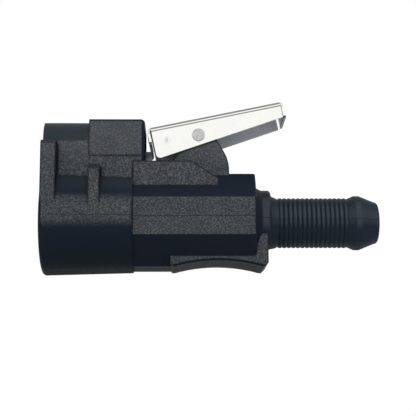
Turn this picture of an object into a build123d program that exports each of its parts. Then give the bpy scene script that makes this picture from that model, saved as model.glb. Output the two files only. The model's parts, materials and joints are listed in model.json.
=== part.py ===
"""Latching quick disconnect coupling for a fuel hose, socket half.

Millimetres. X runs along the hose from the mouth (X = 0) to the tip of the hose barb, Z points up to
the latch lever, and the coupling is the same on both sides of the plane Y = 0.
"""
from build123d import *
import math
import os

# Socket, the round cup that takes the plug
mouth_radius = 10.93
socket_rear_radius = 10.46
socket_length = 18.78
mouth_rounding = 0.8
plug_bore_radius = 9.4
plug_bore_depth = 9.8

# Tower, the tall front part of the latch tunnel above the cup
tower_start = 0.2
tower_half_width = 6.2
tower_top = 21.1
tower_corner = 4.8
tunnel_wall = 1.5
tunnel_floor = 11.4

# Latch housing, the squarer rear part of the same tunnel
housing_start = 9.65
housing_gap = 0.3
housing_half_width = 6.35
housing_top = 21.0
housing_foot = 7.0
housing_rounding = 0.9
housing_step = 0.15
housing_step_height = 13.15

# Front flange and side rib
flange_half_width = 10.5
flange_start = 0.2
flange_thickness = 3.1
flange_top = 15.55
flange_chamfer = 0.7
rib_start = 9.85
rib_thickness = 2.35
rib_top = 10.7
rib_chamfer = 1.1

# Octagonal barrel
barrel_length = 25.27
barrel_half_width = 9.32
barrel_half_height = 9.7
barrel_side_half_height = 3.9
barrel_top_half_width = 4.45
barrel_rounding = 0.45

# Cheeks, the two ledges beside the lever
cheek_inner = 4.85
cheek_outer = 6.9
cheek_top = 11.9
cheek_level_length = 12.07
cheek_slope_length = 5.53
cheek_slope_foot = 8.25

# Ear that carries the lever pin
pivot_setback = 13.52
pivot_z = 17.65
ear_front_reach = 4.0
ear_foot_reach = 5.85
ear_front_knee = 13.9
ear_back_reach = 1.6
ear_back_radius = 7.95
ear_back_clearance = 2.1
ear_slot_half_width = 1.6
ear_slot_reach = 2.8
ear_slot_floor = 12.9
web_clearance = 0.36

# Finger rest under the barrel
rest_half_width = 6.13
rest_setback = 7.62
rest_foot = 9.85
rest_front_rounding = 0.8
rest_rear_chamfer = 0.8
rest_edge_rounding = 0.5
scoop_lead = 0.2
scoop_apex = 8.65
scoop_radius = 33.0
post_gap = 0.85
post_thickness = 1.6
post_top = 3.15
post_slope_foot = 5.3
post_slope_run = 0.7

# Neck, collar and hose barb
neck_front_radius = 7.5
neck_length = 1.35
collar_radius = 6.85
collar_length = 1.85
collar_chamfer = 0.35
barb_root_radius = 5.75
barb_root_length = 1.65
barb_crest_radius = 5.25
barb_valley_radius = 5.02
barb_rib_count = 15
barb_rib_pitch = 0.96
bulge_radius = 5.7
bulge_rise = 1.55
bulge_length = 1.1
tip_taper_length = 3.2
tip_radius = 4.4
tip_end_length = 0.7
tip_rounding = 0.8

# Fluid way
passage_radius = 3.1
chamber_radius = 4.9
chamber_length = 13.5
bushing_radius = 6.0
bushing_length = 7.7
bushing_clearance = 0.02
port_radius = 3.6
port_lead_in = 0.4
seal_cord_radius = 0.8
seal_inner_radius = 3.4
seal_setback = 2.2
seal_groove_clearance = 0.05

# Hole for the plug's guide pin
guide_height = 8.6
guide_radius = 1.9
guide_depth = 8.0
guide_lead_in = 0.3

# Check valve
ball_radius = 4.0
ball_seat_gap = 0.03
valve_wire_radius = 0.3
valve_coil_radius = 3.5
valve_coil_count = 5
valve_seat_gap = 0.05

# Latch lever, one pressing of sheet
sheet = 0.5
lever_tilt = 11.75
lever_length = 29.1
lever_half_width = 5.7
plate_front_height = 7.0
plate_rear_height = 3.45
plate_bend = 1.0
plate_corner = 0.9
lip_gap = 0.3
front_lip_height = 2.95
rear_lip_height = 3.45
lip_bend = 0.75
pivot_along_lever = 10.25
pivot_below_web = 3.2
tongue_half_width = 3.0
tongue_height = 14.4
tongue_tip = 7.85
tongue_root_bend = 1.4
hook_bend = 0.9
hook_tip = 11.0

# Lever pin
pin_radius = 1.0
pin_running_clearance = 0.05
pin_neck_radius = 0.8
pin_neck_clearance = 0.02
pin_head_radius = 1.35
pin_head_height = 0.4

# Lever spring
lever_wire_radius = 0.25
lever_coil_radius = 1.4
lever_coil_pitch = 0.58
lever_coil_turns = 3
lever_web_leg_angle = 45.0
lever_floor_leg_angle = 65.0
lever_knuckle_radius = 0.26
lever_spring_gap = 0.05

# Places that follow from the sizes above
barrel_end = socket_length + barrel_length
collar_start = barrel_end + neck_length
collar_end = collar_start + collar_length
barb_start = collar_end + barb_root_length
ribs_end = barb_start + barb_rib_count * barb_rib_pitch
taper_start = ribs_end + bulge_rise + bulge_length
tip_start = taper_start + tip_taper_length
overall_length = tip_start + tip_end_length
cheek_level_end = socket_length + cheek_level_length
cheek_slope_end = cheek_level_end + cheek_slope_length
pivot_x = socket_length + pivot_setback
ear_front = pivot_x - ear_front_reach
ear_back_x = pivot_x - ear_back_reach
ear_back_room = ear_back_radius + ear_back_clearance - pivot_below_web
ear_back_drop = ear_back_room + ear_back_reach * math.sin(math.radians(lever_tilt))
ear_back_z = pivot_z - ear_back_drop / math.cos(math.radians(lever_tilt))
ear_rear = ear_back_x + ear_back_radius
rest_front = socket_length + rest_setback
post_front = barrel_end + post_gap
rest_rear = post_front + post_thickness
scoop_centre_x = (rest_front + rest_rear) / 2 - scoop_lead
tunnel_half_width = tower_half_width - tunnel_wall
tunnel_top = tower_top - tunnel_wall
tunnel_corner = tower_corner - tunnel_wall
bushing_end = plug_bore_depth + bushing_length
chamber_end = bushing_end + chamber_length
pin_bore_radius = pin_radius + pin_running_clearance
seal_centre_radius = seal_inner_radius + seal_cord_radius
seal_centre_x = plug_bore_depth + seal_setback + seal_cord_radius + seal_groove_clearance
ball_centre_x = bushing_end + math.sqrt(ball_radius**2 - port_radius**2) + ball_seat_gap


def lever_point(along, down):
    """World (X, Z) of a point given along the lever from its front and down from its web top."""
    tilt = math.radians(lever_tilt)
    run = along - pivot_along_lever
    drop = down - pivot_below_web - sheet
    return (
        pivot_x + run * math.cos(tilt) + drop * math.sin(tilt),
        pivot_z + run * math.sin(tilt) - drop * math.cos(tilt),
    )


housing_end = lever_point(0, 0)[0] - housing_gap


def flat_profile(*points):
    """A face in the plane Y = 0 from points given as (X, Z)."""
    return Plane.XZ * make_face(Polyline(*points, close=True))


def across(profile, half_width):
    """A profile of the plane Y = 0 thickened by the same half width to both sides."""
    return extrude(profile, amount=half_width, both=True)


def turned(*points):
    """A body of revolution about the X axis from an outline of (X, radius) points."""
    return revolve(flat_profile(*points), Axis.X, 360)


def bar(start, end, radius, height=0.0):
    """A round bar along X whose axis lies at the given height."""
    disc = Plane.YZ.offset(start) * Pos(0, height) * Circle(radius)
    return extrude(disc, amount=end - start)


def crossbar(x, z, radius, half_length):
    """A round bar along Y, centred on Y = 0."""
    return Pos(x, 0, z) * Rot(90, 0, 0) * Cylinder(radius, 2 * half_length)


def arched(half_width, foot, top, corner, start, end):
    """A block along X with its two upper long edges rounded by the corner radius."""
    width = 2 * half_width
    block = Pos((start + end) / 2, 0, (foot + top) / 2) * Box(end - start, width, top - foot)
    upper = block.edges().filter_by(Axis.X).group_by(Axis.Z)[-1]
    return fillet(upper, corner)


def make_cup():
    """The drafted outside of the socket, its mouth edge rounded."""
    outline = turned(
        (0, 0),
        (0, mouth_radius),
        (socket_length, socket_rear_radius),
        (socket_length, 0),
    )
    return fillet(outline.edges().group_by(Axis.X)[0], mouth_rounding)


def make_barrel():
    """The octagonal middle of the body, its long edges and its rear edge rounded."""
    side = barrel_side_half_height
    top = barrel_top_half_width
    outline = Polyline(
        (barrel_half_width, -side),
        (barrel_half_width, side),
        (top, barrel_half_height),
        (-top, barrel_half_height),
        (-barrel_half_width, side),
        (-barrel_half_width, -side),
        (-top, -barrel_half_height),
        (top, -barrel_half_height),
        close=True,
    )
    barrel = extrude(Plane.YZ.offset(socket_length) * make_face(outline), amount=barrel_length)
    barrel = fillet(barrel.edges().filter_by(Axis.X), barrel_rounding)
    return fillet(barrel.edges().group_by(Axis.X)[-1], barrel_rounding)


def make_tunnel_outside():
    """The tower at the mouth and the squarer housing behind it, with the fine step in its sides."""
    tower_end = housing_start + housing_rounding
    tower = arched(tower_half_width, 0, tower_top, tower_corner, tower_start, tower_end)
    length = housing_end - housing_start
    centre_x = (housing_start + housing_end) / 2
    lower_height = housing_step_height - housing_foot
    lower = Pos(centre_x, 0, housing_foot + lower_height / 2) * Box(
        length, 2 * (housing_half_width - housing_step), lower_height
    )
    upper_height = housing_top - housing_step_height
    upper = Pos(centre_x, 0, housing_step_height + upper_height / 2) * Box(
        length, 2 * housing_half_width, upper_height
    )
    top_sides = upper.edges().filter_by(Axis.X).group_by(Axis.Z)[-1]
    rear = upper.faces().sort_by(Axis.X)[-1]
    rear_edges = rear.edges().filter_by(Axis.Z) + rear.edges().group_by(Axis.Z)[-1]
    upper = fillet(top_sides + rear_edges, housing_rounding)
    lower_rear = lower.edges().filter_by(Axis.Z).group_by(Axis.X)[-1]
    lower = fillet(lower_rear, housing_rounding)
    return tower + lower + upper


def make_side_plate(start, thickness, top, edge_chamfer):
    """A flange or rib across the coupling, its two upper side edges chamfered."""
    plate = Pos(start + thickness / 2, 0, top / 2) * Box(thickness, 2 * flange_half_width, top)
    return chamfer(plate.edges().filter_by(Axis.X).group_by(Axis.Z)[-1], edge_chamfer)


def make_cheeks():
    """The two ledges on the barrel that flank the lever."""
    profile = flat_profile(
        (socket_length, 0),
        (socket_length, cheek_top),
        (cheek_level_end, cheek_top),
        (cheek_slope_end, cheek_slope_foot),
        (cheek_slope_end, 0),
    )
    valley = Pos(0, 0, barrel_half_height + cheek_top) * Box(
        4 * barrel_end, 2 * cheek_inner, 2 * cheek_top
    )
    return across(profile, cheek_outer) - valley


def make_ear():
    """The ear for the lever pin: a rounded head over a bowed back and a sloped front foot."""
    head_radius = pivot_below_web - web_clearance
    head = Pos(pivot_x, pivot_z) * Circle(head_radius)
    back = Pos(ear_back_x, ear_back_z) * Circle(ear_back_radius)
    waist = make_hull((head + back).edges())
    front_limit = Pos(ear_front + barrel_length / 2, ear_front_knee) * Rectangle(
        barrel_length, 2 * pivot_z
    )
    outline = waist & front_limit
    foot = make_face(
        Polyline(
            (ear_front, ear_front_knee),
            (pivot_x - ear_foot_reach, cheek_top),
            (pivot_x - ear_foot_reach, 0),
            (ear_rear, 0),
            (ear_rear, ear_back_z),
            (ear_front, ear_back_z),
            close=True,
        )
    )
    return across(Plane.XZ * (outline + foot), cheek_inner)


def make_finger_rest():
    """The block under the barrel, with the post that climbs beside the collar."""
    profile = flat_profile(
        (rest_front, 0),
        (rest_front, -rest_foot),
        (rest_rear, -rest_foot),
        (rest_rear, -post_top),
        (post_front, -post_top),
        (post_front - post_slope_run, -post_slope_foot),
        (barrel_end - barrel_rounding, -post_slope_foot),
        (barrel_end - barrel_rounding, 0),
    )
    block = across(profile, rest_half_width)
    low_edges = block.edges().filter_by(Axis.Y).group_by(Axis.Z)[0].sort_by(Axis.X)
    block = chamfer(low_edges[-1], rest_rear_chamfer)
    low_edges = block.edges().filter_by(Axis.Y).group_by(Axis.Z)[0].sort_by(Axis.X)
    block = fillet(low_edges[0], rest_front_rounding) - make_scoop()
    rims = block.edges().filter_by(GeomType.CIRCLE).sort_by(SortBy.RADIUS)[-2:]
    return fillet(rims, rest_edge_rounding)


def make_scoop():
    """The round hollow for a finger, cut through the rest and the barrel's underside."""
    return crossbar(scoop_centre_x, -scoop_apex - scoop_radius, scoop_radius, 2 * barrel_half_width)


def make_neck_and_collar():
    """The conical neck behind the barrel and the round collar."""
    neck = turned(
        (barrel_end - barrel_rounding, 0),
        (barrel_end - barrel_rounding, neck_front_radius),
        (barrel_end, neck_front_radius),
        (collar_start, collar_radius),
        (collar_start, 0),
    )
    collar = bar(collar_start, collar_end, collar_radius)
    return neck + chamfer(collar.edges().group_by(Axis.X)[-1], collar_chamfer) - make_collar_flat()


def make_collar_flat():
    """What a flat level with the ribs takes off below the collar and the barb's root."""
    length = barb_start - collar_start
    centre_z = -barb_crest_radius - collar_radius / 2
    return Pos(collar_start + length / 2, 0, centre_z) * Box(length, 2 * collar_radius, collar_radius)


def make_barb():
    """The hose barb: a root cone, a row of round-topped ribs, a bulge and a tapered tip."""
    outline = [Line((collar_end, 0), (collar_end, barb_root_radius))]
    outline.append(Line((collar_end, barb_root_radius), (barb_start, barb_valley_radius)))
    for i in range(barb_rib_count):
        start = barb_start + i * barb_rib_pitch
        crest = (start + barb_rib_pitch / 2, barb_crest_radius)
        end = (start + barb_rib_pitch, barb_valley_radius)
        outline.append(ThreePointArc((start, barb_valley_radius), crest, end))
    bulge_start = ribs_end + bulge_rise
    outline.append(Line((ribs_end, barb_valley_radius), (bulge_start, bulge_radius)))
    outline.append(Line((bulge_start, bulge_radius), (taper_start, bulge_radius)))
    outline.append(Line((taper_start, bulge_radius), (tip_start, tip_radius)))
    end_radius = tip_radius - tip_rounding
    bend = (tip_start + 0.71 * tip_end_length, tip_radius - 0.29 * tip_rounding)
    outline.append(ThreePointArc((tip_start, tip_radius), bend, (overall_length, end_radius)))
    outline.append(Line((overall_length, end_radius), (overall_length, 0)))
    outline.append(Line((overall_length, 0), (collar_end, 0)))
    return revolve(Plane.XZ * make_face(outline), Axis.X, 360) - make_collar_flat()


def make_hollows():
    """All that is cored out of the body: plug bore, latch tunnel, guide hole and fluid way."""
    plug_bore = bar(-1, plug_bore_depth, plug_bore_radius)
    over_end = housing_end + housing_rounding
    slot = arched(tunnel_half_width, 0, tunnel_top, tunnel_corner, -1, plug_bore_depth)
    tunnel = arched(tunnel_half_width, tunnel_floor, tunnel_top, tunnel_corner, 0, over_end)
    guide = bar(plug_bore_depth - 1, plug_bore_depth + guide_depth, guide_radius, guide_height)
    guide_funnel = Plane.YZ.offset(plug_bore_depth) * Pos(0, guide_height) * Circle(
        guide_radius + guide_lead_in
    )
    guide += extrude(guide_funnel, amount=guide_lead_in, taper=45)
    fluid = bar(plug_bore_depth - 1, bushing_end, bushing_radius)
    fluid += bar(bushing_end - 1, chamber_end, chamber_radius)
    fluid += bar(chamber_end - 1, overall_length + 1, passage_radius)
    return [plug_bore, slot, tunnel, guide, fluid]


def make_body():
    """The one-piece moulding: cup, latch tunnel, barrel, ear, finger rest, collar and barb."""
    body = make_cup() + make_barrel() + make_tunnel_outside()
    body += make_side_plate(flange_start, flange_thickness, flange_top, flange_chamfer)
    body += make_side_plate(rib_start, rib_thickness, rib_top, rib_chamfer)
    body += make_cheeks()
    body += make_ear()
    body += make_finger_rest()
    body -= make_scoop()
    body += make_neck_and_collar()
    body += make_barb()
    for hollow in make_hollows():
        body -= hollow
    slot_start = pivot_x - ear_slot_reach
    slot_length = ear_rear + 1 - slot_start
    slot_height = pivot_z + pivot_below_web - ear_slot_floor
    body -= Pos(slot_start + slot_length / 2, 0, ear_slot_floor + slot_height / 2) * Box(
        slot_length, 2 * ear_slot_half_width, slot_height
    )
    body -= crossbar(pivot_x, pivot_z, pin_bore_radius, cheek_inner + 1)
    return body


def make_bushing():
    """The insert behind the plug bore: port hole, groove for the seal and seat for the ball."""
    start = plug_bore_depth
    bushing = bar(start, bushing_end, bushing_radius - bushing_clearance)
    bushing -= bar(start - 1, bushing_end + 1, port_radius)
    groove_half = seal_cord_radius + seal_groove_clearance
    groove_radius = seal_centre_radius + seal_cord_radius + seal_groove_clearance
    bushing -= bar(seal_centre_x - groove_half, seal_centre_x + groove_half, groove_radius)
    mouth_edge = bushing.faces().sort_by(Axis.X)[0].edges().sort_by(SortBy.RADIUS)[0]
    return chamfer(mouth_edge, port_lead_in)


def make_seal():
    """The O-ring that grips the plug's nipple."""
    return Pos(seal_centre_x, 0, 0) * Rot(0, 90, 0) * Torus(seal_centre_radius, seal_cord_radius)


def make_ball():
    """The ball that closes the port from behind."""
    return Pos(ball_centre_x, 0, 0) * Sphere(ball_radius)


def make_valve_spring():
    """The compression spring between the ball and the floor of the valve chamber."""
    reach = ball_radius + valve_wire_radius + valve_seat_gap
    start = ball_centre_x + math.sqrt(reach**2 - valve_coil_radius**2)
    end = chamber_end - valve_wire_radius - valve_seat_gap
    path = Helix((end - start) / valve_coil_count, end - start, valve_coil_radius)
    wire = sweep(Plane(path @ 0, z_dir=path % 0) * Circle(valve_wire_radius), path)
    return Pos(start, 0, 0) * Rot(0, 90, 0) * wire


def make_channel():
    """The lever's web with its two side plates, bent down along the whole length and tapered."""
    middle = sheet / 2
    side = lever_half_width - middle
    start = sheet + lip_gap
    end = lever_length - start
    fold = FilletPolyline(
        (-side, -plate_front_height),
        (-side, -middle),
        (side, -middle),
        (side, -plate_front_height),
        radius=plate_bend - middle,
    )
    channel = extrude(Plane.YZ.offset(start) * trace(fold, sheet), amount=end - start)
    taper = Polyline(
        (start, 0),
        (end, 0),
        (end, -plate_rear_height),
        (start, -plate_front_height),
        close=True,
    )
    plate = make_face(taper)
    front_corner = plate.vertices().sort_by(Axis.Y)[0]
    return channel & across(Plane.XZ * fillet(front_corner, plate_corner), 2 * lever_half_width)


def make_web_and_lips():
    """The web's flat strip, folded down at both ends into the front and the rear lip."""
    middle = sheet / 2
    fold = FilletPolyline(
        (middle, -front_lip_height),
        (middle, -middle),
        (lever_length - middle, -middle),
        (lever_length - middle, -rear_lip_height),
        radius=lip_bend - middle,
    )
    return across(Plane.XZ * trace(fold, sheet), lever_half_width - plate_bend)


def make_tongue():
    """The strip that runs from the lever's front lip through the tunnel to the hook."""
    root_x, root_z = lever_point(sheet / 2, front_lip_height - sheet)
    slant = math.tan(math.radians(lever_tilt))
    fold = FilletPolyline(
        (root_x, root_z),
        (root_x + slant * (root_z - tongue_height), tongue_height),
        (tongue_tip, tongue_height),
        (tongue_tip, hook_tip),
        radius=[tongue_root_bend, hook_bend],
    )
    return across(Plane.XZ * trace(fold, sheet), tongue_half_width)


def make_lever():
    """The latch lever, one folded sheet: channel, lips at both ends, tongue and hook."""
    lever = make_channel() + make_web_and_lips()
    lever -= crossbar(
        pivot_along_lever,
        -sheet - pivot_below_web,
        pin_neck_radius + pin_neck_clearance,
        2 * lever_half_width,
    )
    place = Pos(pivot_x, 0, pivot_z) * Rot(0, -lever_tilt, 0)
    return place * Pos(-pivot_along_lever, 0, sheet + pivot_below_web) * lever + make_tongue()


def make_pin():
    """The lever pin: a thick middle in the ear, thin necks in the plates and staked heads."""
    shank = crossbar(pivot_x, pivot_z, pin_radius, lever_half_width - sheet)
    neck = crossbar(pivot_x, pivot_z, pin_neck_radius, lever_half_width + pin_head_height)
    pin = shank + neck
    for side in (-1, 1):
        middle = side * (lever_half_width + pin_head_height / 2)
        head = Pos(pivot_x, middle, pivot_z) * Rot(90, 0, 0) * Cylinder(pin_head_radius, pin_head_height)
        outer_edge = head.faces().sort_by(Axis.Y)[-1 if side > 0 else 0].edges()
        pin += fillet(outer_edge, pin_head_height / 2)
    return pin


def make_leg(start, angle, length):
    """A straight leg of the lever spring from a point on its coil, at an angle above the X axis."""
    rod = Rot(0, 90, 0) * Pos(0, 0, length / 2) * Cylinder(lever_wire_radius, length)
    return Pos(*start) * (Rot(0, -angle, 0) * rod + Sphere(lever_knuckle_radius))


def make_lever_spring():
    """The torsion spring on the pin: one leg under the lever's web, one on the slot's floor."""
    first_angle = 90 - lever_floor_leg_angle
    last_angle = lever_web_leg_angle - 90
    turns = lever_coil_turns + (last_angle + 360 - first_angle) / 360
    height = lever_coil_pitch * turns
    path = Helix(lever_coil_pitch, height, lever_coil_radius)
    wire = sweep(Plane(path @ 0, z_dir=path % 0) * Circle(lever_wire_radius), path)
    coil = Pos(0, height / 2, 0) * Rot(0, -first_angle, 0) * Rot(90, 0, 0) * wire

    def on_coil(angle, y):
        turn = math.radians(angle)
        return lever_coil_radius * math.cos(turn), y, lever_coil_radius * math.sin(turn)

    reach = lever_wire_radius + lever_spring_gap
    rise = math.radians(lever_web_leg_angle - lever_tilt)
    web_length = (pivot_below_web - reach + lever_coil_radius * math.cos(rise)) / math.sin(rise)
    floor_start = on_coil(first_angle, height / 2)
    floor_drop = pivot_z + floor_start[2] - ear_slot_floor - reach
    floor_length = floor_drop / math.sin(math.radians(lever_floor_leg_angle))
    web_leg = make_leg(on_coil(last_angle, -height / 2), lever_web_leg_angle, web_length)
    floor_leg = make_leg(floor_start, -lever_floor_leg_angle, floor_length)
    return Pos(pivot_x, 0, pivot_z) * (coil + web_leg + floor_leg)


parts = {
    "body": make_body(),
    "port_bushing": make_bushing(),
    "port_seal": make_seal(),
    "check_ball": make_ball(),
    "check_spring": make_valve_spring(),
    "latch_lever": make_lever(),
    "pivot_pin": make_pin(),
    "lever_spring": make_lever_spring(),
}

os.makedirs("parts", exist_ok=True)
for name, part in parts.items():
    export_step(part, os.path.join("parts", name + ".step"))
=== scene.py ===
"""Finishes, studio and camera for the latching quick disconnect coupling.

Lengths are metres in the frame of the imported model: X runs along the hose from the mouth, Z points up
to the latch lever, and the origin is the centre of the mouth. The plane Y = 0 is the plane of symmetry.
"""

from __future__ import annotations

import json
import logging
import math
from dataclasses import dataclass
from enum import Enum
from typing import Any

import bpy
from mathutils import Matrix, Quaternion, Vector

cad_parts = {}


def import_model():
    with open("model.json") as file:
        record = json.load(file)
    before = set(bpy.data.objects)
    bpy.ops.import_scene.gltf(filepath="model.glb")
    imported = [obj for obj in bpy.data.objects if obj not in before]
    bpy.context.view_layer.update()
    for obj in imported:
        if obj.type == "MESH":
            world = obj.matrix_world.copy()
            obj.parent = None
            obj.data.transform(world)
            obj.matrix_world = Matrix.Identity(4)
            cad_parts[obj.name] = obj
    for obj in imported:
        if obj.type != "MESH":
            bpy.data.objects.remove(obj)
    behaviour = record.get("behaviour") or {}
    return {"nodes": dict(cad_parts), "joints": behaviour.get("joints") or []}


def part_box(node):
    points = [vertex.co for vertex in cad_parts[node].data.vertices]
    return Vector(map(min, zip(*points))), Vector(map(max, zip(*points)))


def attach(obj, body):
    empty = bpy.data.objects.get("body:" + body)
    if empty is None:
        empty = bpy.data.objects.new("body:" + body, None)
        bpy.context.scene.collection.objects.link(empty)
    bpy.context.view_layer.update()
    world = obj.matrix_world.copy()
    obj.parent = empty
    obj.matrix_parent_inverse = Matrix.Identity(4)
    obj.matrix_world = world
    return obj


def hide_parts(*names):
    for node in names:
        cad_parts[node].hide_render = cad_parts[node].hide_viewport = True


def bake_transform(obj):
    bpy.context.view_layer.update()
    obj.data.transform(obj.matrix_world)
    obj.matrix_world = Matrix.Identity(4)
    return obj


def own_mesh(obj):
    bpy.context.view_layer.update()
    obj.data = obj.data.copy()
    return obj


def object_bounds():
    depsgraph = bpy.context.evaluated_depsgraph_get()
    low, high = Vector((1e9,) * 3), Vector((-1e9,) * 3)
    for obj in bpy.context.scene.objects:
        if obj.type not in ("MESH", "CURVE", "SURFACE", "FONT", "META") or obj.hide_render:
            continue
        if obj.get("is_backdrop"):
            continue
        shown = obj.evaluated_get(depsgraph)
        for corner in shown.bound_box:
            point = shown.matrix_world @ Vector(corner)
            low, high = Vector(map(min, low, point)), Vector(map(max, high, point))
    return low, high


MM = 0.001
MERGE_DISTANCE = 0.0005 * MM
FLAT_DEG = 0.2
SMOOTH_DEG = 30.0
NOISE_MEAN = 0.5
NOISE_ROUGHNESS = 0.55
BEVEL_SAMPLES = 8
WHITE = (1.0, 1.0, 1.0)
ORIGIN = (0.0, 0.0, 0.0)
LOG = logging.getLogger("coupling")

Number = int | float
Colour = tuple[float, float, float]
Point = tuple[float, float, float]
Span = tuple[float, float]


class Operation(Enum):
    """The steps of shader maths that are used."""

    ADD = "ADD"
    SUBTRACT = "SUBTRACT"
    MULTIPLY = "MULTIPLY"
    ABSOLUTE = "ABSOLUTE"
    SINE = "SINE"
    SQUARE_ROOT = "SQRT"
    GREATER_THAN = "GREATER_THAN"
    MAXIMUM = "MAXIMUM"


class Signal:
    """One number that changes over a surface, with Python's arithmetic."""

    def __init__(self, bench: Bench, socket: bpy.types.NodeSocket) -> None:
        """Wraps a socket.

        Args:
            bench: The node tree that the socket belongs to.
            socket: The output socket that carries the number.
        """
        self.bench = bench
        self.socket = socket

    def __add__(self, other: Signal | Number) -> Signal:
        """Adds."""
        return self.bench.maths(Operation.ADD, self, other)

    __radd__ = __add__

    def __sub__(self, other: Signal | Number) -> Signal:
        """Subtracts."""
        return self.bench.maths(Operation.SUBTRACT, self, other)

    def __rsub__(self, other: Number) -> Signal:
        """Subtracts this signal from a plain number."""
        return self.bench.maths(Operation.SUBTRACT, other, self)

    def __mul__(self, other: Signal | Number) -> Signal:
        """Multiplies."""
        return self.bench.maths(Operation.MULTIPLY, self, other)

    __rmul__ = __mul__

    def __neg__(self) -> Signal:
        """Turns the sign."""
        return 0 - self

    def __abs__(self) -> Signal:
        """Drops the sign."""
        return self.bench.maths(Operation.ABSOLUTE, self)

    def hypot(self, other: Signal) -> Signal:
        """The length of the diagonal over this signal and another."""
        return self.bench.maths(Operation.SQUARE_ROOT, self * self + other * other)

    def or_more(self, other: Signal) -> Signal:
        """The greater of this signal and another."""
        return self.bench.maths(Operation.MAXIMUM, self, other)

    def above(self, limit: Number) -> Signal:
        """One where this signal is over the limit, and zero elsewhere."""
        return self.bench.maths(Operation.GREATER_THAN, self, limit)

    def between(self, low: float, high: float) -> Signal:
        """Low where this signal is zero, high where it is one, and in line with those elsewhere."""
        return self * (high - low) + low

    def waves(self, length: float) -> Signal:
        """Waves from zero to one and back, one for each length that this signal gains."""
        return self.bench.maths(Operation.SINE, self * (math.tau / length)) * 0.5 + 0.5

    def rising(self, low: Number, high: Number) -> Signal:
        """A smooth climb from zero to one as this signal goes from low to high.

        Args:
            low: Where the climb starts.
            high: Where it ends.

        Returns:
            The climb, held at zero and one outside the limits.
        """
        node = self.bench.node(
            "ShaderNodeMapRange",
            {"interpolation_type": "SMOOTHSTEP"},
            {"Value": self, "From Min": low, "From Max": high},
        )
        return Signal(self.bench, node.outputs["Result"])


class Bench:
    """A node tree that is built up from nothing."""

    def __init__(self, owner: bpy.types.Material | bpy.types.World) -> None:
        """Empties a tree.

        Args:
            owner: The material or the world that the tree belongs to.
        """
        owner.use_nodes = True
        self.tree = owner.node_tree
        self.tree.nodes.clear()

    def node(
        self,
        kind: str,
        settings: dict[str, Any] | None = None,
        inputs: dict[Any, Any] | None = None,
    ) -> bpy.types.Node:
        """Adds a node.

        Args:
            kind: The node's type.
            settings: The node's own properties, set before its sockets.
            inputs: For each input, by name or number, a value, a socket or a signal.

        Returns:
            The new node.
        """
        made = self.tree.nodes.new(kind)
        for key, value in (settings or {}).items():
            setattr(made, key, value)
        for key, value in (inputs or {}).items():
            self.feed(made.inputs[key], value)
        return made

    def feed(self, socket: bpy.types.NodeSocket, value: Any) -> None:
        """Links or sets one input.

        Args:
            socket: The input.
            value: A signal or an output socket to link, or a value to set.
        """
        if isinstance(value, Signal):
            value = value.socket
        if isinstance(value, bpy.types.NodeSocket):
            self.tree.links.new(value, socket)
        elif socket.type == "RGBA":
            socket.default_value = (*value, 1.0)
        else:
            socket.default_value = value

    def maths(self, operation: Operation, *operands: Signal | Number) -> Signal:
        """Adds a Math node.

        Args:
            operation: What the node does.
            operands: Its operands in order.

        Returns:
            The node's result.
        """
        node = self.node("ShaderNodeMath", {"operation": operation.value}, dict(enumerate(operands)))
        return Signal(self, node.outputs[0])

    def ray(self, name: str) -> Signal:
        """One for rays of a kind, and zero for all others.

        Args:
            name: The Light Path node's name for the kind.

        Returns:
            The share.
        """
        return Signal(self, self.node("ShaderNodeLightPath").outputs[name])


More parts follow.
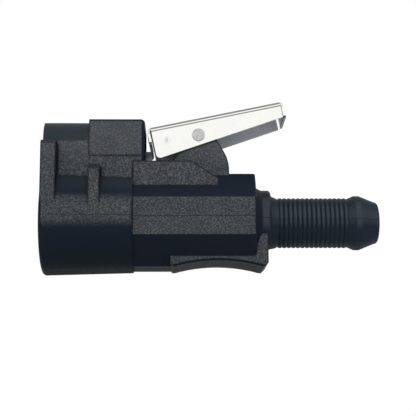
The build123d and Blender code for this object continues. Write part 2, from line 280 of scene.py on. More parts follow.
class FinishBench(Bench):
    """The node tree of one material, which follows the object's own coordinates."""

    def __init__(self, name: str) -> None:
        """Starts an empty material.

        Args:
            name: The material's name.
        """
        self.material = bpy.data.materials.new(name)
        super().__init__(self.material)
        self.coordinates = self.node("ShaderNodeTexCoord")

    def place(self) -> bpy.types.NodeSocket:
        """The point in the object's own coordinates."""
        return self.coordinates.outputs["Object"]

    def facing(self) -> bpy.types.NodeSocket:
        """The surface's direction in the object's own coordinates."""
        return self.coordinates.outputs["Normal"]

    def parts_of(self, vector: bpy.types.NodeSocket) -> tuple[Signal, Signal, Signal]:
        """Splits a vector.

        Args:
            vector: The socket that carries it.

        Returns:
            Its X, Y and Z.
        """
        split = self.node("ShaderNodeSeparateXYZ", None, {0: vector})
        x, y, z = (Signal(self, socket) for socket in split.outputs)
        return x, y, z

    def seen_from(
        self, vector: bpy.types.NodeSocket, origin: Vector | Point, tilt_deg: float = 0.0
    ) -> bpy.types.NodeSocket:
        """Turns a point into the coordinates of a frame that is tilted about Y.

        Args:
            vector: The point.
            origin: The frame's origin.
            tilt_deg: How far the frame's X axis climbs.

        Returns:
            The point in that frame.
        """
        turn = (0.0, -math.radians(tilt_deg), 0.0)
        inputs = {"Vector": vector, "Location": tuple(origin), "Rotation": turn}
        return self.node("ShaderNodeMapping", {"vector_type": "TEXTURE"}, inputs).outputs[0]

    def stretched(self, vector: bpy.types.NodeSocket, scale: Point) -> bpy.types.NodeSocket:
        """Scales a point's coordinates.

        Args:
            vector: The point.
            scale: The factors along X, Y and Z.

        Returns:
            The scaled point.
        """
        settings = {"operation": "MULTIPLY"}
        return self.node("ShaderNodeVectorMath", settings, {0: vector, 1: scale}).outputs[0]

    def noise(self, vector: bpy.types.NodeSocket, grain: float, detail: float = 2.0) -> Signal:
        """Soft random variation.

        Args:
            vector: The point that it follows.
            grain: The size of its spots.
            detail: How many finer layers it has.

        Returns:
            The variation, about 0.5 on average.
        """
        inputs = {"Vector": vector, "Scale": 1.0 / grain, "Detail": detail, "Roughness": NOISE_ROUGHNESS}
        return Signal(self, self.node("ShaderNodeTexNoise", None, inputs).outputs["Fac"])

    def blend(self, amount: Signal, first: Any, second: Any) -> bpy.types.NodeSocket:
        """Mixes two colours.

        Args:
            amount: How much of the second shows.
            first: A colour or its socket.
            second: A colour or its socket.

        Returns:
            The mixed colour.
        """
        inputs = {0: amount, 6: first, 7: second}
        return self.node("ShaderNodeMix", {"data_type": "RGBA"}, inputs).outputs[2]

    def turned_away(self, radius: float) -> Signal:
        """How far an edge's rounding would turn the surface.

        Args:
            radius: The radius of the rounding.

        Returns:
            Zero on flats, and up to one beside an edge or a corner.
        """
        rounded = self.node("ShaderNodeBevel", {"samples": BEVEL_SAMPLES}, {"Radius": radius}).outputs[0]
        plain = self.node("ShaderNodeNewGeometry").outputs["True Normal"]
        dot = self.node("ShaderNodeVectorMath", {"operation": "DOT_PRODUCT"}, {0: rounded, 1: plain})
        return 1 - Signal(self, dot.outputs["Value"])

    def relief(self, height: Signal, depth: float, strength: float) -> bpy.types.NodeSocket:
        """Turns a height into a shading direction.

        Args:
            height: The height from zero to one.
            depth: The real height of one.
            strength: How much of it shows.

        Returns:
            The direction for a shader's Normal.
        """
        inputs = {"Height": height, "Distance": depth, "Strength": strength}
        return self.node("ShaderNodeBump", None, inputs).outputs[0]

    def close(self, shader: bpy.types.Node) -> bpy.types.Material:
        """Ends the tree.

        Args:
            shader: The shader that the surface has.

        Returns:
            The finished material.
        """
        self.node("ShaderNodeOutputMaterial", None, {"Surface": shader.outputs[0]})
        return self.material

    def finish(self, inputs: dict[str, Any]) -> bpy.types.Material:
        """Ends the tree in a Principled shader.

        Args:
            inputs: The shader's values and links, by socket name.

        Returns:
            The finished material.
        """
        return self.close(self.node("ShaderNodeBsdfPrincipled", None, inputs))


class Surface:
    """A point of a piece, and the way that the piece faces there."""

    def __init__(
        self, bench: FinishBench, place: bpy.types.NodeSocket, facing: bpy.types.NodeSocket
    ) -> None:
        """Splits the point and the direction.

        Args:
            bench: The node tree that carries both.
            place: The point.
            facing: The direction.
        """
        self.along, self.side, self.height = bench.parts_of(place)
        _, self.across, self.up = bench.parts_of(facing)

    def outer(self) -> Signal:
        """One where the piece faces away from the plane of symmetry, and zero elsewhere."""
        return (self.side * self.across).above(0.0)

    def inner(self) -> Signal:
        """One where the piece faces the plane of symmetry, and zero elsewhere."""
        return (-(self.side * self.across)).above(0.0)

    def outward(self, tilt_deg: float) -> Signal:
        """How squarely the piece faces either side.

        Args:
            tilt_deg: How far above the side the full value lies.

        Returns:
            One where it faces there, less where it turns away.
        """
        tilt = math.radians(tilt_deg)
        return abs(self.across) * math.cos(tilt) + self.up * math.sin(tilt)


@dataclass(frozen=True)
class MouldedNylon:
    """Black glass-filled nylon: grained on the sides and underneath, smoother on the slopes, with
    painted sheen and shade.

    Every span is where a smooth climb starts and ends: of a height or a length along X, of a
    direction's share, or of a noise's value.
    """

    smooth_colour: Colour = (0.0065, 0.0105, 0.0185)
    grain_sheen_colour: Colour = (0.034, 0.039, 0.043)
    glint_colour: Colour = (0.115, 0.122, 0.130)
    shoulder_sheen_colour: Colour = (0.026, 0.034, 0.041)
    barb_colour: Colour = (0.0115, 0.0165, 0.0265)
    barb_sheen_colour: Colour = (0.041, 0.049, 0.060)
    line_and_edge_shade_colour: Colour = (0.008, 0.009, 0.012)
    speck: float = 0.32 * MM
    dust: float = 0.11 * MM
    speck_share: float = 0.7
    glint_span: Span = (0.43, 0.66)
    patch: float = 4.0 * MM
    patch_share: float = 0.15
    patch_swing: float = 0.5
    side_tilt_deg: float = 6.5
    side_span: Span = (0.934, 0.998)
    under_span: Span = (0.90, 0.99)
    crown_span: Span = (10.0 * MM, 16.0 * MM)
    painted_crown_share: float = 0.24
    shoulder_end: float = 9.6 * MM
    shoulder_span: Span = (16.0 * MM, 16.6 * MM)
    cup_end: float = 18.8 * MM
    cup_span: Span = (0.3, 0.8)
    cup_sheen_share: float = 0.6
    barb_span: Span = (45.3 * MM, 45.4 * MM)
    barb_tilt_deg: float = 12.0
    barb_sheen_span: Span = (0.80, 0.985)
    barb_under_span: Span = (0.70, 0.98)
    barb_under_share: float = 0.45
    post_top: float = 3.1 * MM
    post_rear: float = 46.55 * MM
    seam_side_span: Span = (0.55, 0.7)
    seam_span: Span = (0.035 * MM, 0.07 * MM)
    seam_depth: float = 1.5
    edge_radius: float = 0.60 * MM
    edge_span: Span = (0.003, 0.045)
    line_and_shade_share: float = 0.85
    smooth_roughness: float = 0.52
    grained_roughness: float = 0.66
    roughness_swing: float = 0.12
    specular: float = 0.08
    smooth_bumps: float = 0.25
    relief_depth: float = 0.022 * MM
    relief_strength: float = 0.8

    def make(self) -> bpy.types.Material:
        """Builds the material.

        Returns:
            The material.
        """
        bench = FinishBench("moulded_nylon_grained_painted_sheen")
        place = bench.place()
        surface = Surface(bench, place, bench.facing())
        shoulder = self.shoulder(surface)
        grained = self.grained(surface) * (1 - shoulder)
        specks = bench.noise(place, self.speck, detail=3.0)
        dust = bench.noise(place, self.dust, detail=1.0)
        mottled = specks * self.speck_share + dust * (1 - self.speck_share)
        # The tower's shoulder and the cup's upward slopes get a painted sheen.
        paler = shoulder.or_more(self.cup_sheen(surface))
        smooth = bench.blend(paler, self.smooth_colour, self.shoulder_sheen_colour)
        # Where the grain is, the colour is painted paler: a painted sheen for the light that the grain
        # catches.
        colour = bench.blend(grained, smooth, self.grain_sheen_tint(bench, surface, mottled))
        # The barb's side and underside get a painted sheen.
        barb = bench.blend(self.barb_sheen(surface), self.barb_colour, self.barb_sheen_colour)
        colour = bench.blend(self.on_barb(surface), colour, barb)
        patches = (bench.noise(place, self.patch) - NOISE_MEAN) * self.patch_swing + self.patch_share
        colour = bench.blend(patches, colour, self.smooth_colour)
        seam = self.seam(surface)
        # Painted shade: the grained faces are painted dark beside their edges; the parting line is the
        # mould's own dark seam.
        edge_shade = bench.turned_away(self.edge_radius).rising(*self.edge_span) * grained
        colour = bench.blend(seam.or_more(edge_shade) * self.line_and_shade_share, colour, self.line_and_edge_shade_colour)
        roughness = grained.between(self.smooth_roughness, self.grained_roughness)
        bumps = mottled * grained.between(self.smooth_bumps, 1.0) - seam * self.seam_depth
        return bench.finish(
            {
                "Base Color": colour,
                "Roughness": roughness + (mottled - NOISE_MEAN) * self.roughness_swing,
                "Specular IOR Level": self.specular,
                "Normal": bench.relief(bumps, self.relief_depth, self.relief_strength),
            }
        )

    def grained(self, surface: Surface) -> Signal:
        """One on the outer sides and underneath, where the mould is grained and the colour gets a
        painted sheen.
        """
        sides = surface.outer() * surface.outward(self.side_tilt_deg).rising(*self.side_span)
        return sides.or_more((-surface.up).rising(*self.under_span))

    def grain_sheen_tint(self, bench: FinishBench, surface: Surface, mottled: Signal) -> bpy.types.NodeSocket:
        """The grain's painted sheen, with pale painted glints, and painted lighter towards the top.

        Args:
            bench: The material's node tree.
            surface: The point.
            mottled: The grain.

        Returns:
            The colour.
        """
        # Pale painted glints where the grain would catch the light, and painted light that grows towards
        # the top.
        glints = mottled.rising(*self.glint_span)
        crown = surface.height.rising(*self.crown_span) * self.painted_crown_share
        tint = bench.blend(glints, self.grain_sheen_colour, self.glint_colour)
        return bench.blend(crown, tint, self.glint_colour)

    def shoulder(self, surface: Surface) -> Signal:
        """One on the smooth shoulder at the top of the tower, which is painted paler as sheen."""
        on_tower = (self.shoulder_end - surface.along).above(0.0)
        return on_tower * surface.height.rising(*self.shoulder_span)

    def cup_sheen(self, surface: Surface) -> Signal:
        """The share of painted sheen by which the cup's upward slopes are paler than the other smooth
        ones.
        """
        on_cup = (self.cup_end - surface.along).above(0.0)
        return on_cup * surface.up.rising(*self.cup_span) * self.cup_sheen_share

    def on_barb(self, surface: Surface) -> Signal:
        """Marks the collar and the barb, without the finger rest's post beside them.

        Args:
            surface: The point.

        Returns:
            One there, and zero elsewhere.
        """
        below = (-surface.height).above(self.post_top)
        beside_post = below * (self.post_rear - surface.along).above(0.0)
        return surface.along.rising(*self.barb_span) * (1 - beside_post)

    def barb_sheen(self, surface: Surface) -> Signal:
        """The barb's painted sheen, on the side and more faintly underneath."""
        under = (-surface.up).rising(*self.barb_under_span) * self.barb_under_share
        return surface.outward(self.barb_tilt_deg).rising(*self.barb_sheen_span).or_more(under)

    def seam(self, surface: Surface) -> Signal:
        """One on the mould's parting line, which runs along the middle of the outer sides."""
        outside = surface.outer() * abs(surface.across).rising(*self.seam_side_span)
        return outside * (1 - abs(surface.height).rising(*self.seam_span))


@dataclass(frozen=True)
class TurnedAcetal:
    """Dark acetal with the fine rings that a lathe leaves about the fluid way."""

    colour: Colour = (0.012, 0.013, 0.015)
    worn_colour: Colour = (0.026, 0.027, 0.029)
    ring: float = 0.16 * MM
    ring_share: float = 0.35
    patch: float = 1.5 * MM
    patch_span: Span = (0.4, 0.7)
    patch_share: float = 0.4
    roughness: Span = (0.32, 0.47)
    specular: float = 0.45
    relief_depth: float = 0.006 * MM
    relief_strength: float = 0.6

    def make(self) -> bpy.types.Material:
        """Builds the material.

        Returns:
            The material.
        """
        bench = FinishBench("bushing_acetal_turned")
        place = bench.place()
        along, side, height = bench.parts_of(place)
        rings = (side.hypot(height) + along).waves(self.ring)
        patches = bench.noise(place, self.patch)
        worn = rings * self.ring_share + patches.rising(*self.patch_span) * self.patch_share
        return bench.finish(
            {
                "Base Color": bench.blend(worn, self.colour, self.worn_colour),
                "Roughness": patches.between(*self.roughness),
                "Specular IOR Level": self.specular,
                "Normal": bench.relief(rings, self.relief_depth, self.relief_strength),
            }
        )


@dataclass(frozen=True)
class SealRubber:
    """Matt black rubber with a faint bloom."""

    colour: Colour = (0.010, 0.010, 0.011)
    bloom_colour: Colour = (0.028, 0.028, 0.030)
    grain: float = 0.12 * MM
    patch: float = 1.2 * MM
    patch_span: Span = (0.45, 0.75)
    patch_share: float = 0.7
    roughness: Span = (0.55, 0.75)
    specular: float = 0.3
    relief_depth: float = 0.010 * MM
    relief_strength: float = 0.6

    def make(self) -> bpy.types.Material:
        """Builds the material.

        Returns:
            The material.
        """
        bench = FinishBench("seal_rubber_matt")
        place = bench.place()
        grain = bench.noise(place, self.grain, detail=3.0)
        bloom = bench.noise(place, self.patch).rising(*self.patch_span) * self.patch_share
        return bench.finish(
            {
                "Base Color": bench.blend(bloom, self.colour, self.bloom_colour),
                "Roughness": grain.between(*self.roughness),
                "Specular IOR Level": self.specular,
                "Normal": bench.relief(grain, self.relief_depth, self.relief_strength),
            }
        )


@dataclass(frozen=True)
class PolishedBall:
    """Ground stainless steel, nearly a mirror, with a faint cloud of fine scratches."""

    colour: Colour = (0.70, 0.71, 0.72)
    dull_colour: Colour = (0.52, 0.53, 0.55)
    cloud: float = 1.1 * MM
    cloud_span: Span = (0.35, 0.75)
    cloud_share: float = 0.5
    scratch: float = 0.05 * MM
    scratch_stretch: Point = (1.0, 0.15, 0.15)
    roughness: float = 0.06
    cloud_roughness: float = 0.06
    scratch_roughness: float = 0.08

    def make(self) -> bpy.types.Material:
        """Builds the material.

        Returns:
            The material.
        """
        bench = FinishBench("ball_steel_polished")
        place = bench.place()
        cloud = bench.noise(place, self.cloud, detail=3.0).rising(*self.cloud_span)
        scratches = bench.noise(bench.stretched(place, self.scratch_stretch), self.scratch)
        dulled = cloud * self.cloud_roughness + scratches * self.scratch_roughness
        return bench.finish(
            {
                "Base Color": bench.blend(cloud * self.cloud_share, self.colour, self.dull_colour),
                "Metallic": 1.0,
                "Roughness": dulled + self.roughness,
            }
        )


@dataclass(frozen=True)
class DrawnWire:
    """Stainless spring wire with the dull skin and fine lines that drawing leaves."""

    colour: Colour = (0.58, 0.58, 0.59)
    dull_colour: Colour = (0.36, 0.36, 0.38)
    line: float = 0.07 * MM
    patch: float = 0.6 * MM
    patch_span: Span = (0.35, 0.7)
    patch_share: float = 0.6
    roughness: float = 0.2
    line_roughness: float = 0.16
    patch_roughness: float = 0.08

    def make(self) -> bpy.types.Material:
        """Builds the material.

        Returns:
            The material.
        """
        bench = FinishBench("spring_steel_drawn")
        place = bench.place()
        lines = bench.noise(place, self.line, detail=1.0)
        skin = bench.noise(place, self.patch, detail=3.0).rising(*self.patch_span)
        dulled = lines * self.line_roughness + skin * self.patch_roughness
        return bench.finish(
            {
                "Base Color": bench.blend(skin * self.patch_share, self.colour, self.dull_colour),
                "Metallic": 1.0,
                "Roughness": dulled + self.roughness,
            }
        )


@dataclass(frozen=True)
class LeverForm:
    """The folded lever's measures, in a frame on the pin's axis that is tilted as the lever is.

    Only the tongue's height is in the model's own frame. The fold at the tongue's root has the radius
    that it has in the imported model, and the tighter one that a press gives it.
    """

    tilt_deg: float = 11.75
    half_width: float = 5.7 * MM
    web_rise: float = 3.7 * MM
    bend: float = 1.0 * MM
    sheet: float = 0.5 * MM
    lip_foot: float = 0.75 * MM
    pivot_along: float = 10.25 * MM
    tongue_half_width: float = 3.0 * MM
    tongue_height: float = 14.4 * MM
    modelled_fold: float = 1.4 * MM
    sharp_fold: float = 0.45 * MM


@dataclass(frozen=True)
class BrightSheet:
    """Bright stainless sheet, bent on a press: polished outside, with painted shade in its folds,
    inside, underneath and on the tongue.

    The limits named for bends and sheets are counted in bend radii and in sheet thicknesses: those of
    the plate and of the tongue's sides inwards from the lever's half width, and the tongue's own down
    from the foot of the front lip.
    """

    pivot: Vector
    form: LeverForm
    colour: Colour = (0.97, 0.97, 0.94)
    grey_and_shade_colour: Colour = (0.17, 0.17, 0.17)
    inner_shade_colour: Colour = (0.62, 0.63, 0.66)
    tongue_shadow_colour: Colour = (0.055, 0.060, 0.080)
    brushing: float = 0.10 * MM
    brushing_stretch: Point = (0.03, 1.0, 1.0)
    brushing_span: Span = (0.45, 0.75)
    brushing_share: float = 0.05
    cloud: float = 2.6 * MM
    cloud_span: Span = (0.5, 0.75)
    cloud_share: float = 0.03
    plate_bends: Span = (1.1, 0.85)
    line_span: Span = (0.063 * MM, 0.21 * MM)
    line_and_shade_share: float = 0.85
    crown_drop: float = 0.6 * MM
    crown_span: Span = (-0.08 * MM, 0.08 * MM)
    painted_crown_share: float = 0.9
    hidden_span: Span = (0.5, 0.9)
    smudge_along: float = -6.6 * MM
    smudge_height: float = 0.2 * MM
    smudge_span: Span = (0.2 * MM, 1.0 * MM)
    smudge_grain: float = 0.35 * MM
    smudge_grain_span: Span = (0.36, 0.60)
    smudge_share: float = 0.38
    tongue_sheets: float = 0.3
    tongue_side_sheets: Span = (1.5, 1.0)
    tongue_under_share: float = 0.3
    roughness: float = 0.2
    brushing_roughness: float = 0.12
    cloud_roughness: float = 0.06
    hidden_roughness: float = 0.2
    relief_depth: float = 0.0012 * MM
    relief_strength: float = 0.5

    def make(self) -> bpy.types.Material:
        """Builds the material.

        Returns:
            The material.
        """
        bench = FinishBench("lever_stainless_bright")
        local = bench.seen_from(bench.place(), self.pivot, self.form.tilt_deg)
        turned = bench.seen_from(bench.facing(), ORIGIN, self.form.tilt_deg)
        surface = Surface(bench, local, turned)
        brushed = bench.noise(bench.stretched(local, self.brushing_stretch), self.brushing)
        cloud = bench.noise(local, self.cloud)
        # The inner faces and the undersides are duller, and are painted grey as shade.
        below = (-surface.up).rising(*self.hidden_span)
        dull_and_shaded = (surface.inner() * abs(surface.across).rising(*self.hidden_span)).or_more(below)
        streaks = brushed.rising(*self.brushing_span) * self.brushing_share
        clouded = cloud.rising(*self.cloud_span) * self.cloud_share
        smudge = self.smudge(surface, bench.noise(local, self.smudge_grain, detail=3.0))
        colour = bench.blend(streaks + clouded + smudge, self.colour, self.grey_and_shade_colour)
        # Painted shade along the web's long folds.
        colour = bench.blend(self.fold_shade_lines(surface), colour, self.grey_and_shade_colour)
        colour = bench.blend(dull_and_shaded, colour, self.inner_shade_colour)
        # The tongue is painted dark as the shadow it lies in, a little less underneath.
        tongue = self.tongue(surface) * (1 - below * self.tongue_under_share)
        colour = bench.blend(tongue, colour, self.tongue_shadow_colour)
        dulled = brushed * self.brushing_roughness + cloud * self.cloud_roughness
        return bench.finish(
            {
                "Base Color": colour,
                "Metallic": 1.0,
                "Roughness": dulled + dull_and_shaded * self.hidden_roughness + self.roughness,
                "Normal": bench.relief(brushed, self.relief_depth, self.relief_strength),
            }
        )

    def fold_shade_lines(self, surface: Surface) -> Signal:
        """The painted dark line below each of the web's long folds, and the painted shade on the fold's
        own crown.

        Args:
            surface: The point.

        Returns:
            How grey the sheet is.
        """
        form = self.form
        start, end = (form.half_width - bends * form.bend for bends in self.plate_bends)
        line = 1 - abs(surface.height - (form.web_rise - form.bend)).rising(*self.line_span)
        crown = (surface.height - (form.web_rise - self.crown_drop)).rising(*self.crown_span)
        shade = (line * self.line_and_shade_share).or_more(crown * self.painted_crown_share)
        return abs(surface.side).rising(start, end) * shade

    def smudge(self, surface: Surface, grain: Signal) -> Signal:
        """The dull smudge near the front of the plate on the photographed side.

        Args:
            surface: The point.
            grain: The smudge's grain.

        Returns:
            How dull the plate is.
        """
        away = (surface.along - self.smudge_along).hypot(surface.height - self.smudge_height)
        blotches = grain.rising(*self.smudge_grain_span) * (-surface.side).above(0.0)
        return (1 - away.rising(*self.smudge_span)) * blotches * self.smudge_share

    def tongue(self, surface: Surface) -> Signal:
        """Marks the tongue, which lies between the side plates and below the front lip's foot.

        Args:
            surface: The point.

        Returns:
            One there, and zero elsewhere.
        """
        form = self.form
        low = (-surface.height).rising(-form.lip_foot, self.tongue_sheets * form.sheet - form.lip_foot)
        start, end = (form.half_width - sheets * form.sheet for sheets in self.tongue_side_sheets)
        return low * (1 - abs(surface.side).rising(start, end))


@dataclass(frozen=True)
class StakedPin:
    """Satin stainless pin whose heads show the rings of the tool that spread them."""

    pivot: Vector
    colour: Colour = (0.66, 0.66, 0.65)
    dull_colour: Colour = (0.38, 0.38, 0.39)
    ring: float = 0.22 * MM
    ring_share: float = 0.45
    patch: float = 0.5 * MM
    patch_span: Span = (0.4, 0.7)
    patch_share: float = 0.45
    roughness: Span = (0.22, 0.40)
    relief_depth: float = 0.006 * MM
    relief_strength: float = 0.7

    def make(self) -> bpy.types.Material:
        """Builds the material.

        Returns:
            The material.
        """
        bench = FinishBench("pin_stainless_staked")
        local = bench.seen_from(bench.place(), self.pivot)
        along, _, height = bench.parts_of(local)
        rings = along.hypot(height).waves(self.ring)
        patches = bench.noise(local, self.patch, detail=3.0)
        dull = rings * self.ring_share + patches.rising(*self.patch_span) * self.patch_share
        return bench.finish(
            {
                "Base Color": bench.blend(dull, self.colour, self.dull_colour),
                "Metallic": 1.0,
                "Roughness": patches.between(*self.roughness),
                "Normal": bench.relief(rings, self.relief_depth, self.relief_strength),
            }
        )


def direction(azimuth_deg: float, elevation_deg: float) -> Vector:
    """The way from the coupling to a lamp or a camera.

    Args:
        azimuth_deg: Zero is in front of the side that the photograph shows, and 90 is behind the barb.
        elevation_deg: The height above the horizon.

    Returns:
        A vector of length one.
    """
    azimuth, elevation = math.radians(azimuth_deg), math.radians(elevation_deg)
    level = math.cos(elevation)
    return Vector((math.sin(azimuth) * level, -math.cos(azimuth) * level, math.sin(elevation)))


def dress(node: bpy.types.Object, material: bpy.types.Material) -> None:
    """Gives a piece its finish.

    Args:
        node: The piece, a CAD node's object or one made here.
        material: The finish.
    """
    for slot in node.material_slots:
        slot.material = material
    LOG.info("%s wears %s", node.name, material.name)


def piece_from(node: bpy.types.Object, name: str) -> bpy.types.Object:
    """Makes a new piece from a CAD node's triangles, joined up, and lets it stand for the node.

    Args:
        node: The CAD node.
        name: The new piece's name.

    Returns:
        The new piece, in the node's place.
    """
    piece = bpy.data.objects.new(name, node.data.copy())
    bpy.context.scene.collection.objects.link(piece)
    bpy.ops.object.select_all(action="DESELECT")
    piece.select_set(True)
    bpy.context.view_layer.objects.active = piece
    bpy.ops.object.mode_set(mode="EDIT")
    bpy.ops.mesh.select_all(action="SELECT")
    bpy.ops.mesh.remove_doubles(threshold=MERGE_DISTANCE)
    bpy.ops.mesh.dissolve_limited(angle_limit=math.radians(FLAT_DEG))
    bpy.ops.object.mode_set(mode="OBJECT")
    bpy.ops.object.shade_smooth_by_angle(angle=math.radians(SMOOTH_DEG))
    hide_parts(node.name)
    LOG.info("%s stands for %s", name, node.name)
    return piece


@dataclass
class Moulding:
    """The coupling's body, one moulding from the cup to the hose barb."""

    node: bpy.types.Object
    finish: MouldedNylon = MouldedNylon()

    def dress(self) -> None:
        """Gives the moulding its grained nylon, with its painted sheen and shade."""
        dress(self.node, self.finish.make())


@dataclass
class FluidInsert:
    """The bushing at the bottom of the plug bore and the seal in its groove."""

    bushing: bpy.types.Object
    seal: bpy.types.Object
    bushing_finish: TurnedAcetal = TurnedAcetal()
    seal_finish: SealRubber = SealRubber()

    def dress(self) -> None:
        """Gives both pieces their finishes."""
        dress(self.bushing, self.bushing_finish.make())
        dress(self.seal, self.seal_finish.make())


@dataclass
class CheckValve:
    """The ball on its seat and the spring that shortens as the plug pushes the ball back."""

    ball: bpy.types.Object
    spring: bpy.types.Object
    travel: float
    wire_radius: float = 0.3 * MM
    chamber_end: float = 31.0 * MM
    ball_finish: PolishedBall = PolishedBall()

    def build(self, wire: bpy.types.Material) -> None:
        """Makes the spring a piece of its own, and dresses both.

        Args:
            wire: The finish of the spring's wire.
        """
        dress(self.ball, self.ball_finish.make())
        low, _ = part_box(self.spring.name)
        spring = piece_from(self.spring, "check_spring_coil")
        dress(spring, wire)
        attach(spring, "housing")
        length = self.chamber_end - low.x - self.wire_radius
        1 - self.travel / length
        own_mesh(spring)


@dataclass
class LatchLever:
    """The folded lever, the pin that it turns on and the torsion spring about the pin."""

    lever: bpy.types.Object
    pin: bpy.types.Object
    spring: bpy.types.Object
    pivot: Vector
    form: LeverForm = LeverForm()
    coil_half_length: float = 0.85 * MM

    def build(self, wire: bpy.types.Material) -> None:
        """Makes the sheet and the spring, and dresses all three pieces.

        Args:
            wire: The finish of the spring's wire.
        """
        sheet = piece_from(self.lever, "latch_lever_sheet")
        self.sharpen_tongue(sheet)
        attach(sheet, "latch")
        dress(sheet, BrightSheet(self.pivot, self.form).make())
        dress(self.pin, StakedPin(self.pivot).make())
        self.build_spring(wire)

    def build_spring(self, wire: bpy.types.Material) -> None:
        """Makes the spring a piece of its own and dresses it.

        Args:
            wire: The spring's finish.
        """
        spring = piece_from(self.spring, "lever_spring_coil")
        dress(spring, wire)
        reach = Vector((0.0, self.coil_half_length, 0.0))
        self.pivot + reach
        self.pivot - reach
        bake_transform(spring)

    def fold_centre(self, radius: float) -> tuple[float, float]:
        """Finds the axis of the fold at the tongue's root, for one radius of the fold.

        Args:
            radius: The radius at the middle of the sheet.

        Returns:
            The axis's X and Z.
        """
        form = self.form
        tilt = math.radians(form.tilt_deg)
        root = form.sheet / 2 - form.pivot_along
        drop = (form.tongue_height - self.pivot.z - root * math.sin(tilt)) / math.cos(tilt)
        corner = self.pivot.x + root * math.cos(tilt) - drop * math.sin(tilt)
        return corner - radius * math.tan((math.pi / 2 + tilt) / 2), form.tongue_height + radius

    def sharpen_tongue(self, sheet: bpy.types.Object) -> None:
        """Draws the fold at the tongue's root as tight as the real press makes it.

        Args:
            sheet: The lever's sheet.
        """
        form = self.form
        turn = math.pi / 2 + math.radians(form.tilt_deg)
        old_x, old_z = self.fold_centre(form.modelled_fold)
        new_x, new_z = self.fold_centre(form.sharp_fold)
        near_middle = 0.6 * form.sheet
        near_plane = form.tongue_half_width + 0.1 * form.sheet
        margin = 0.01
        bent = []
        for vertex in sheet.data.vertices:
            along, across, height = vertex.co
            offset = math.hypot(along - old_x, height - old_z) - form.modelled_fold
            share = (math.atan2(height - old_z, along - old_x) + math.pi / 2) / turn
            in_tongue = abs(offset) < near_middle and abs(across) < near_plane
            if in_tongue and margin < share < 1 - margin:
                bent.append((vertex, offset, share))
        shares = [share for _, _, share in bent]
        low, high = min(shares), max(shares)
        for vertex, offset, share in bent:
            angle = (share - low) / (high - low) * turn - math.pi / 2
            radius = form.sharp_fold + offset
            vertex.co.x = new_x + radius * math.cos(angle)
            vertex.co.z = new_z + radius * math.sin(angle)
        LOG.info("tongue folded at %d points", len(bent))


@dataclass(frozen=True)
class Softbox:
    """A square soft lamp that faces the coupling."""

    name: str
    azimuth_deg: float
    elevation_deg: float
    distance: float
    size: float
    watts: float

    def build(self, target: Vector) -> None:
        """Adds the lamp.

        Args:
            target: The point that it faces.
        """
        away = direction(self.azimuth_deg, self.elevation_deg)
        data = bpy.data.lights.new(self.name, "AREA")
        data.shape = "SQUARE"
        data.size = self.size
        data.energy = self.watts
        lamp = bpy.data.objects.new(self.name, data)
        lamp.location = target + away * self.distance
        lamp.rotation_mode = "QUATERNION"
        lamp.rotation_quaternion = (-away).to_track_quat("-Z", "Y")
        lamp.visible_glossy = False
        bpy.context.scene.collection.objects.link(lamp)
        LOG.info("lamp %s", self.name)


@dataclass(frozen=True)
class Studio:
    """A pale floor that shows only from above, a white surround and soft lamps."""

    floor_height: float
    target: Vector
    floor_size: float = 3.0
    floor_colour: Colour = (0.80, 0.80, 0.80)
    fade_span: Span = (0.07, 0.30)
    mirrored_share: float = 0.6
    ambient: float = 0.35
    lamps: tuple[Softbox, ...] = (
        Softbox("key", azimuth_deg=0.0, elevation_deg=15.0, distance=0.70, size=0.50, watts=3.9),
        Softbox("back_fill", azimuth_deg=180.0, elevation_deg=35.0, distance=0.70, size=0.60, watts=2.2),
        Softbox("top", azimuth_deg=20.0, elevation_deg=80.0, distance=0.70, size=0.50, watts=0.5),
    )

    def build(self) -> None:
        """Adds the floor, the surround and the lamps."""
        self.build_floor()
        self.build_surround()
        for lamp in self.lamps:
            lamp.build(self.target)

    def build_floor(self) -> None:
        """Adds the floor, whose underside lets the view through."""
        bpy.ops.object.select_all(action="DESELECT")
        place = (self.target.x, 0.0, self.floor_height)
        bpy.ops.mesh.primitive_plane_add(size=self.floor_size, location=place)
        bpy.ops.object.transform_apply(location=True, rotation=True, scale=True)
        floor = bpy.context.object
        floor.name = "stage_floor"
        floor.data.materials.append(self.floor_material())
        floor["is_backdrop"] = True
        LOG.info("floor at %.4f", self.floor_height)

    def floor_material(self) -> bpy.types.Material:
        """The floor's pale paint, which fades to plain white away from the coupling.

        Returns:
            The material.
        """
        bench = FinishBench("stage_floor_paint")
        along, side, _ = bench.parts_of(bench.seen_from(bench.place(), (self.target.x, 0.0, 0.0)))
        seen, mirrored = bench.ray("Is Camera Ray"), bench.ray("Is Glossy Ray")
        far = along.hypot(side).rising(*self.fade_span)
        fade = (far * (seen + mirrored)).or_more(mirrored * self.mirrored_share)
        paint = bench.node("ShaderNodeBsdfDiffuse", None, {"Color": self.floor_colour})
        glow = bench.node("ShaderNodeEmission", None, {"Color": WHITE, "Strength": 1.0})
        top = bench.node("ShaderNodeMixShader", None, {0: fade, 1: paint.outputs[0], 2: glow.outputs[0]})
        clear = bench.node("ShaderNodeBsdfTransparent")
        back = bench.node("ShaderNodeNewGeometry").outputs["Backfacing"]
        return bench.close(
            bench.node("ShaderNodeMixShader", None, {0: back, 1: top.outputs[0], 2: clear.outputs[0]})
        )

    def build_surround(self) -> None:
        """Makes the world white to the eye and to reflections, and dimmer as a lamp."""
        world = bpy.data.worlds.new("surround")
        bpy.context.scene.world = world
        bench = Bench(world)
        shows = bench.ray("Is Camera Ray")
        for name in ("Is Glossy Ray", "Is Transmission Ray"):
            shows = shows.or_more(bench.ray(name))
        level = shows.between(self.ambient, 1.0)
        light = bench.node("ShaderNodeBackground", None, {"Color": WHITE, "Strength": level})
        bench.node("ShaderNodeOutputWorld", None, {"Surface": light.outputs[0]})
        LOG.info("surround")


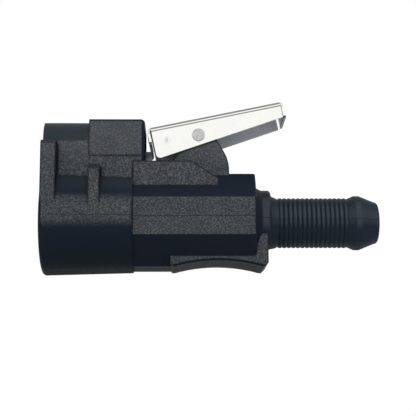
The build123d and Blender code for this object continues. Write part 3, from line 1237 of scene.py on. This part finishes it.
@dataclass(frozen=True)
class PhotoCamera:
    """The camera at the photograph's place, a little below the coupling and in front of its side."""

    target: Point = (34.35 * MM, 0.0, 3.26 * MM)
    distance: float = 235.8 * MM
    azimuth_deg: float = -1.49
    elevation_deg: float = -10.48
    roll_deg: float = -0.27
    focal_pixels: float = 1121.0
    frame_pixels: float = 416.0
    sensor: float = 36.0
    near_share: float = 0.1
    far_share: float = 100.0

    def build(self) -> None:
        """Adds the camera and makes it the scene's own."""
        back = direction(self.azimuth_deg, self.elevation_deg)
        data = bpy.data.cameras.new("photo_camera")
        data.sensor_width = self.sensor
        data.lens = self.focal_pixels / self.frame_pixels * self.sensor
        data.clip_start = self.near_share * self.distance
        data.clip_end = self.far_share * self.distance
        camera = bpy.data.objects.new("photo_camera", data)
        camera.location = Vector(self.target) + back * self.distance
        camera.rotation_mode = "QUATERNION"
        roll = Quaternion((0.0, 0.0, 1.0), math.radians(self.roll_deg))
        camera.rotation_quaternion = (-back).to_track_quat("-Z", "Y") @ roll
        bpy.context.scene.collection.objects.link(camera)
        bpy.context.scene.camera = camera
        LOG.info("camera with a %.1f mm lens", data.lens)


def joint_called(joints: list[dict[str, Any]], name: str) -> dict[str, Any]:
    """Finds a joint of the frame.

    Args:
        joints: The frame's joints.
        name: The joint's name.

    Returns:
        The joint's entry in the record.
    """
    return next(joint for joint in joints if joint["name"] == name)


def main() -> None:
    """Loads the frame, dresses every piece, and sets up the studio and the camera."""
    logging.basicConfig(level=logging.INFO, format="%(name)s: %(message)s")
    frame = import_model()
    cad_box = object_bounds()
    bpy.context.scene.view_settings.view_transform = "Standard"
    nodes = frame["nodes"]
    PhotoCamera().build()
    Moulding(nodes["body"]).dress()
    FluidInsert(nodes["port_bushing"], nodes["port_seal"]).dress()
    wire = DrawnWire().make()
    travel = joint_called(frame["joints"], "valve_travel")["range_m"][1]
    CheckValve(nodes["check_ball"], nodes["check_spring"], travel).build(wire)
    pivot = Vector(joint_called(frame["joints"], "lever_pivot")["pos_m"])
    LatchLever(nodes["latch_lever"], nodes["pivot_pin"], nodes["lever_spring"], pivot).build(wire)
    centre = (cad_box[0] + cad_box[1]) / 2
    Studio(floor_height=cad_box[0].z, target=centre).build()


if __name__ == "__main__":
    main()
